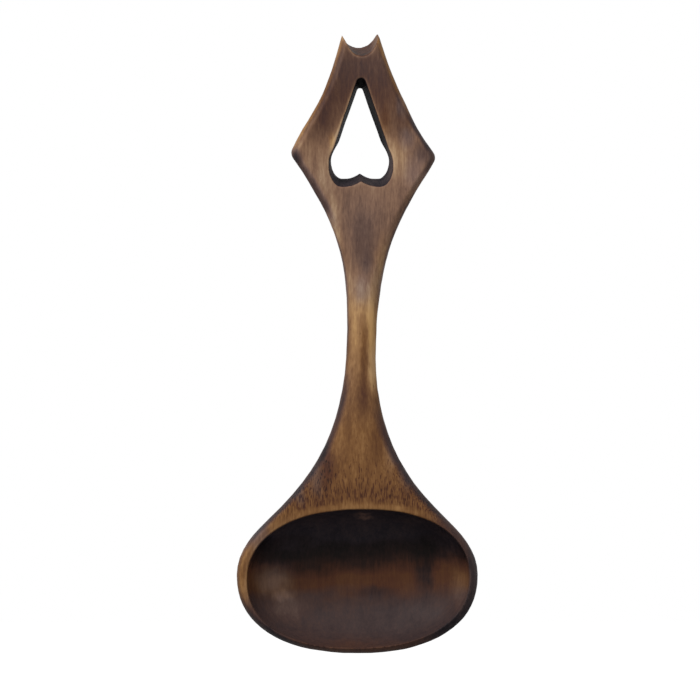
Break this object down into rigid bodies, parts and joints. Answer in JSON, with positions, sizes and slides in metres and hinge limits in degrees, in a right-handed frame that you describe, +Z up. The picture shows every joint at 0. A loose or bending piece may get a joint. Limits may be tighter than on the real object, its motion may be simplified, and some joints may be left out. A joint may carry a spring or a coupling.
{
  "type": "welsh love spoon",
  "caption": "Carved wooden love spoon with a wide oval bowl, a waisted stem and a horned diamond head with a heart cut through it, for hanging on a wall.",
  "frame": {"origin": "where a nail under the top of the heart meets the wall: in the plane of the head's flat back, at the top of the heart's opening", "axes": "+X to the right seen from the front, +Y into the wall, out of the flat back, +Z up along the spoon, from the bowl to the horns"},
  "size_m": [0.089, 0.023, 0.2297],
  "materials": {
    "stained_hardwood": "hand-rubbed dark stain with a dull wax sheen, worn golden on the edges"
  },
  "bodies": {
    "root": {"carved_spoon": "stained_hardwood"}
  },
  "joints": []
}
